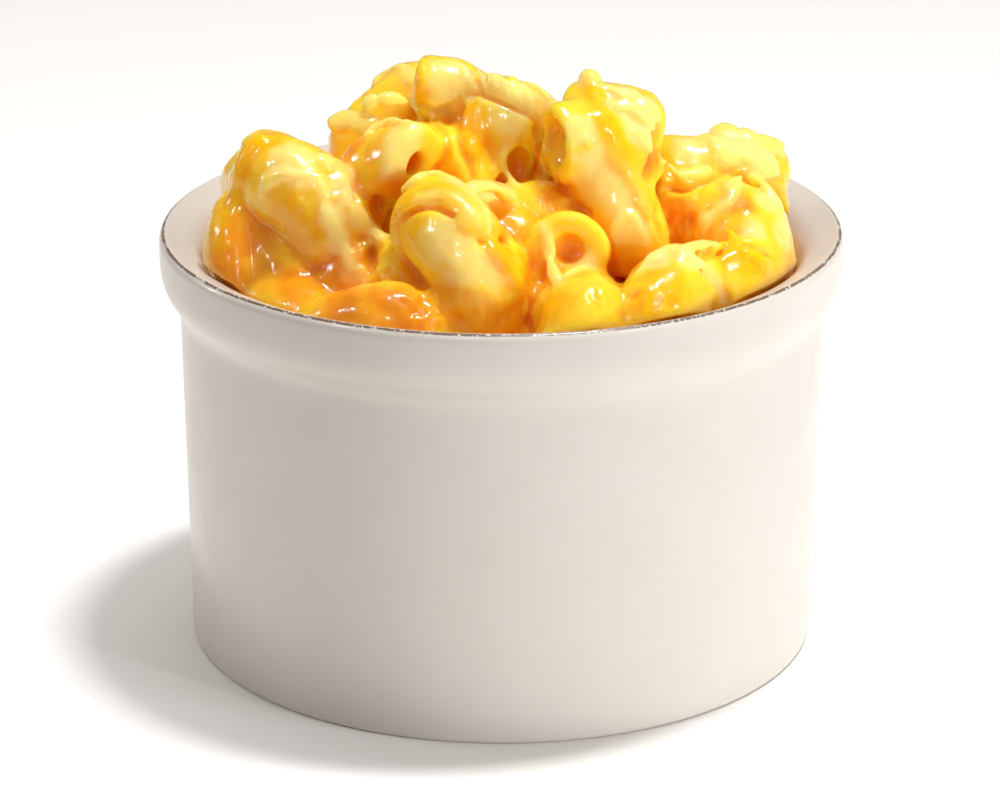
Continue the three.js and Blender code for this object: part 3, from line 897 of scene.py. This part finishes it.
def heap_field(grid):
    """The fields of the heap's skin, its bare elbows, its melted shreds and its folds."""
    elbows = dict(PLACED_ELBOWS)
    elbows.update(filling_elbows(list(PLACED_ELBOWS.values())))
    bare, crisp, pooled = join_elbows(grid, elbows)
    wet = np.clip(0.3 + 0.5 * grid.noise(*WETNESS), 0, 1)
    base = crisp * (1 - wet) + pooled * wet
    base = soft_min(base, core_field(grid), CORE_JOIN)
    base += LUMP_HEIGHT * grid.noise(*LUMPS)
    patches = np.clip(grid.noise(*PATCHES) - 0.2, 0, 1.2)
    base -= PATCH_HEIGHT * patches * (1 - np.abs(grid.noise(*WRINKLES)))
    base += RIPPLE_HEIGHT * grid.noise(*RIPPLES)
    base = press_furrows(grid, carve_pockets(grid, base))
    shreds, folds = lay_cheese(grid, base)
    skin = soft_min(base, folds, FOLD_JOIN)
    skin = soft_min(skin, shreds, SHRED_JOIN)
    skin = soft_max(skin, bowl_room(grid), BOWL_JOIN)
    return skin, bare, shreds, folds


def soft_step(values, edge, softness):
    """1 well below the edge and 0 well above it."""
    return 1 / (1 + np.exp((values - edge) / softness))


def heap_skin():
    """The skin of the heap, marked at each point with what its material asks for."""
    grid = Grid(FIELD_LOW, FIELD_HIGH, STEP)
    skin, bare, shreds, folds = heap_field(grid)
    level_set = openvdb.FloatGrid()
    level_set.copyFromArray(np.ascontiguousarray(skin, np.float32), tolerance=0.0)
    points, faces = level_set.convertToQuads(isovalue=0.0)
    points, faces = largest_part(np.asarray(points), np.asarray(faces, int))
    piece = make_mesh("sauced_macaroni", grid.low + points * grid.step, faces.tolist())
    thin(piece, HEAP_TRIANGLES)
    places = np.empty(3 * len(piece.data.vertices), np.float32)
    piece.data.vertices.foreach_get("co", places)
    places = places.reshape(-1, 3) / MM
    ragged = grid.sample(grid.noise(*RAGGED), places)
    marks = {
        name: film_cover(grid, skin, places, films, edge, ragged)
        for name, (edge, films) in FILMS.items()
    }
    marks["shred"] = soft_step(grid.sample(shreds, places), 0.15, 0.2)
    marks["fold"] = soft_step(grid.sample(folds, places), 0.35, 0.25)
    marks["sauce"] = np.clip(grid.sample(bare, places) / THICK_SAUCE, 0, 1)
    # How nearly solid the heap is round each point, from which the material paints shade into
    # crevices.
    filled = grid.blurred((skin < 0).astype(np.float32), DEEP_BLUR)
    marks["deep"] = np.clip(grid.sample(filled, places), 0, 1)
    for name, values in marks.items():
        layer = piece.data.attributes.new(name, "FLOAT", "POINT")
        layer.data.foreach_set("value", values.astype(np.float32))
    return piece


def core_piece():
    """The macaroni that fills the bowl under the skin of the heap."""
    inside = INSIDE_LOW_RADIUS - CLEARANCE
    floor = FLOOR_HEIGHT + CLEARANCE
    profile = [(0, floor), (inside - FLOOR_ROUNDING, floor)]
    profile += corner(profile[-1], (inside, floor), (inside, floor + FLOOR_ROUNDING), 6)
    profile += line(profile[-1], (INSIDE_TOP_RADIUS - CLEARANCE - 0.3, CORE_EDGE_HEIGHT - 1.4), 8)
    profile += line(profile[-1], (0, CORE_EDGE_HEIGHT - 0.9), 6)
    return lathe("macaroni_core", profile, 96)


# ---- the bowl ----

def bowl_profile():
    """The outline of half the bowl, from the middle of its base round to that of its floor."""
    outline = [(0, 0)]
    outline += line(outline[-1], (BASE_RADIUS - BASE_ROUNDING, 0), 6)
    outline += corner(outline[-1], (BASE_RADIUS, 0), (BASE_RADIUS, BASE_ROUNDING), 6)
    outline += line(outline[-1], (WALL_TOP_RADIUS, BAND_FOOT), 24)
    outline += bezier(
        outline[-1], (WALL_TOP_RADIUS, BAND_FOOT + 3.4), (BAND_RADIUS, BAND_WIDEST_LOW - 5),
        (BAND_RADIUS, BAND_WIDEST_LOW), CURVE_POINTS,
    )
    outline += line(outline[-1], (BAND_RADIUS, BAND_WIDEST_HIGH), 3)
    outline += corner(
        outline[-1], (BAND_RADIUS, BOWL_HEIGHT - 0.2), (RIM_EDGE_RADIUS, BOWL_HEIGHT), 8,
    )
    outline += line(outline[-1], (LIP_RADIUS, LIP_HEIGHT), 5)
    outline += bezier(
        outline[-1], (LIP_RADIUS - 2.1, LIP_HEIGHT - 0.9),
        (INSIDE_TOP_RADIUS + 0.2, INSIDE_TOP_HEIGHT + 3.4),
        (INSIDE_TOP_RADIUS, INSIDE_TOP_HEIGHT), CURVE_POINTS,
    )
    outline += line(outline[-1], (INSIDE_LOW_RADIUS, FLOOR_HEIGHT + FLOOR_ROUNDING), 10)
    floor_edge = (INSIDE_LOW_RADIUS - FLOOR_ROUNDING, FLOOR_HEIGHT)
    outline += corner(outline[-1], (INSIDE_LOW_RADIUS, FLOOR_HEIGHT), floor_edge, 6)
    outline += line(outline[-1], (0, FLOOR_HEIGHT), 6)
    return outline


# ---- materials ----

class Nodes:
    """Short names for making a material's nodes."""

    def __init__(self, name):
        self.material = bpy.data.materials.new(name)
        self.material.use_nodes = True
        self.tree = self.material.node_tree
        self.shader = self.tree.nodes["Principled BSDF"]

    def add(self, kind, settings=(), inputs=()):
        node = self.tree.nodes.new("ShaderNode" + kind)
        for key, value in dict(settings).items():
            setattr(node, key, value)
        for key, value in dict(inputs).items():
            self.put(node.inputs[key], value)
        return node

    def put(self, socket, value):
        if isinstance(value, bpy.types.NodeSocket):
            self.tree.links.new(value, socket)
        else:
            socket.default_value = value

    def set(self, **values):
        for key, value in values.items():
            self.put(self.shader.inputs[key.replace("_", " ")], value)

    def attribute(self, name):
        return self.add("Attribute", {"attribute_name": name}).outputs["Fac"]

    def place(self):
        """The "X", "Y" and "Z" of a point, in metres."""
        place = self.add("TexCoord").outputs["Object"]
        return self.add("SeparateXYZ", inputs={"Vector": place}).outputs

    def noise(self, size_mm, detail, stretch=(1, 1, 1)):
        place = self.add("TexCoord").outputs["Object"]
        scaled = self.add("Mapping", inputs={"Vector": place, "Scale": stretch})
        return self.add("TexNoise", inputs={
            "Vector": scaled.outputs["Vector"], "Scale": 1 / (size_mm * MM), "Detail": detail,
        }).outputs["Fac"]

    def ramp(self, value, low, high, to_low=0.0, to_high=1.0):
        return self.add("MapRange", {"interpolation_type": "SMOOTHSTEP"}, {
            "Value": value, "From Min": low, "From Max": high, "To Min": to_low, "To Max": to_high,
        }).outputs["Result"]

    def math(self, operation, *values):
        node = self.add("Math", {"operation": operation})
        for socket, value in zip(node.inputs, values):
            self.put(socket, value)
        return node.outputs[0]

    def mix(self, share, below, above):
        """The colour above laid over the one below, as far as the share says."""
        node = self.add("Mix", {"data_type": "RGBA"})
        self.put(node.inputs["Factor"], share)
        for name, colour in (("A", below), ("B", above)):
            is_socket = isinstance(colour, bpy.types.NodeSocket)
            self.put(node.inputs[name], colour if is_socket else (*colour, 1))
        return node.outputs["Result"]

    def bump(self, height, distance_mm, strength):
        inputs = {"Height": height, "Distance": distance_mm * MM, "Strength": strength}
        return self.add("Bump", inputs=inputs).outputs["Normal"]


def cheese_material():
    """Wet, slightly see-through sauce, coloured by the marks on the skin, with shade painted into
    its crevices and low down.
    """
    nodes = Nodes("cheesy_macaroni")
    cloud = nodes.noise(5, 2)
    sauce = nodes.math("ADD", nodes.attribute("sauce"), nodes.math("MULTIPLY", cloud, 0.5))
    sauce = nodes.ramp(sauce, 0.25, 1.1)
    colour = nodes.mix(sauce, (1, 0.6, 0.03), (1, 0.48, 0.004))
    for mark, share, layer_colour in LAYERS:
        cover = nodes.math("MULTIPLY", nodes.attribute(mark), share)
        colour = nodes.mix(cover, colour, layer_colour)
    # Painted shade: crevices, where the blurred heap is nearly solid, are darkened to deep orange.
    deep = nodes.ramp(nodes.attribute("deep"), 0.5, 0.8)
    colour = nodes.mix(nodes.math("MULTIPLY", deep, 0.7), colour, (0.85, 0.33, 0.008))
    # Painted shade: the heap is tinted darker orange below 60 mm, low towards the rim.
    low = nodes.ramp(nodes.place()["Z"], 52 * MM, 60 * MM, 0.45, 0.0)
    colour = nodes.mix(low, colour, (0.95, 0.33, 0.003))
    fine = nodes.noise(1.1, 2, (1, 1, 0.4))
    relief = nodes.bump(fine, 0.15, 0.6)
    nodes.set(
        Base_Color=colour,
        Roughness=nodes.ramp(nodes.noise(3, 3), 0.3, 0.7, 0.16, 0.3),
        IOR=1.45,
        Specular_IOR_Level=0.3,
        Subsurface_Weight=1.0,
        Subsurface_Radius=(1, 0.6, 0.18),
        Subsurface_Scale=5.0 * MM,
        Coat_Weight=0.55,
        Coat_Roughness=0.06,
        Normal=relief,
        Coat_Normal=relief,
    )
    return nodes.material


def glaze_material():
    """Cream glaze with a satin sheen, worn off in spots along the edge of the rim."""
    nodes = Nodes("glazed_bowl")
    place = nodes.place()
    across = nodes.math("POWER", place["X"], 2.0)
    across = nodes.math("ADD", across, nodes.math("POWER", place["Y"], 2.0))
    from_edge = nodes.math("SUBTRACT", nodes.math("SQRT", across), (RIM_EDGE_RADIUS + 0.25) * MM)
    from_edge = nodes.math("ABSOLUTE", from_edge)
    high = nodes.ramp(place["Z"], (BOWL_HEIGHT - 0.6) * MM, (BOWL_HEIGHT - 0.25) * MM)
    band = nodes.ramp(from_edge, 0.05 * MM, 0.3 * MM, 1.0, 0.0)
    wander = nodes.ramp(nodes.noise(3.5, 3), 0.3, 0.5, 0.45, 1.0)
    speckle = nodes.ramp(nodes.noise(0.45, 3), 0.3, 0.55, 0.2, 1.0)
    worn = nodes.math("MULTIPLY", band, high)
    worn = nodes.math("MULTIPLY", worn, wander)
    worn = nodes.math("MULTIPLY", worn, speckle)
    worn = nodes.ramp(worn, 0.15, 0.7)
    glaze = nodes.mix(nodes.noise(9, 3), (0.62, 0.57, 0.515), (0.66, 0.61, 0.555))
    colour = nodes.mix(worn, glaze, (0.16, 0.105, 0.07))
    nodes.set(
        Base_Color=colour,
        Roughness=nodes.ramp(nodes.noise(6, 3), 0.3, 0.7, 0.3, 0.4),
        IOR=1.5,
        Coat_Weight=0.35,
        Coat_Roughness=0.15,
        Normal=nodes.bump(nodes.noise(14, 2), 0.12, 0.5),
    )
    return nodes.material


def core_material():
    nodes = Nodes("macaroni_inside")
    nodes.set(
        Base_Color=nodes.mix(nodes.noise(6, 3), (0.9, 0.42, 0.05), (0.95, 0.6, 0.18)),
        Roughness=0.35,
        Normal=nodes.bump(nodes.noise(5, 2), 0.6, 0.8),
    )
    return nodes.material


# ---- camera, lights and floor ----

def add_camera():
    data = bpy.data.cameras.new("camera")
    data.sensor_width = SENSOR_WIDTH
    data.lens = FOCAL_PIXELS / FRAME_WIDTH * SENSOR_WIDTH
    data.clip_start = 0.01
    data.clip_end = 20
    camera = add_object("camera", data)
    back = Vector(CAMERA_BACK)
    camera.location = (Vector(LOOK_AT) + back * CAMERA_DISTANCE) * MM
    camera.rotation_euler = (-back).to_track_quat("-Z", "Y").to_euler()
    bpy.context.scene.camera = camera


def add_area_light(name, place, size, power, mirrored=True, colour=(1, 1, 1)):
    """A light that faces the heap."""
    data = bpy.data.lights.new(name, "AREA")
    data.shape = "RECTANGLE"
    data.size, data.size_y = size
    data.energy = power
    data.color = colour
    light = add_object(name, data)
    light.location = place
    light.visible_glossy = mirrored
    aim = Vector((0, 0, 0.05)) - Vector(place)
    light.rotation_euler = aim.to_track_quat("-Z", "Y").to_euler()


def add_studio():
    """The pale room, the lights and the white floor."""
    world = bpy.data.worlds.new("studio")
    world.use_nodes = True
    background = world.node_tree.nodes["Background"]
    background.inputs["Color"].default_value = (1, 0.82, 0.64, 1)
    strength = world.node_tree.nodes.new("ShaderNodeMapRange")
    strength.inputs["To Min"].default_value = 0.05
    strength.inputs["To Max"].default_value = 0.25  # the pale room that wet surfaces mirror
    seen_by = world.node_tree.nodes.new("ShaderNodeLightPath")
    world.node_tree.links.new(seen_by.outputs["Is Glossy Ray"], strength.inputs["Value"])
    world.node_tree.links.new(strength.outputs["Result"], background.inputs["Strength"])
    bpy.context.scene.world = world
    bpy.context.scene.view_settings.view_transform = "Standard"
    for light in LIGHTS:
        add_area_light(*light)
    sides = ((-1, -1), (1, -1), (1, 1), (-1, 1))
    corners = [(FLOOR_REACH * x, FLOOR_REACH * y, 0) for x, y in sides]
    floor = make_mesh("floor", corners, [(0, 1, 2, 3)])
    nodes = Nodes("floor")
    nodes.set(Base_Color=(0.96, 0.93, 0.91, 1), Roughness=0.9)
    floor.data.materials.append(nodes.material)


# ---- putting it together ----

def dress(piece, material, node):
    """Gives a piece its material and body, and hides the imported part that it stands in for."""
    piece.data.materials.append(material)
    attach(piece, "root")
    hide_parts(node)


add_camera()
add_studio()
dress(lathe("bowl_glazed", bowl_profile(), BOWL_SEGMENTS), glaze_material(), "bowl")
dress(heap_skin(), cheese_material(), "macaroni")
dress(core_piece(), core_material(), "macaroni")
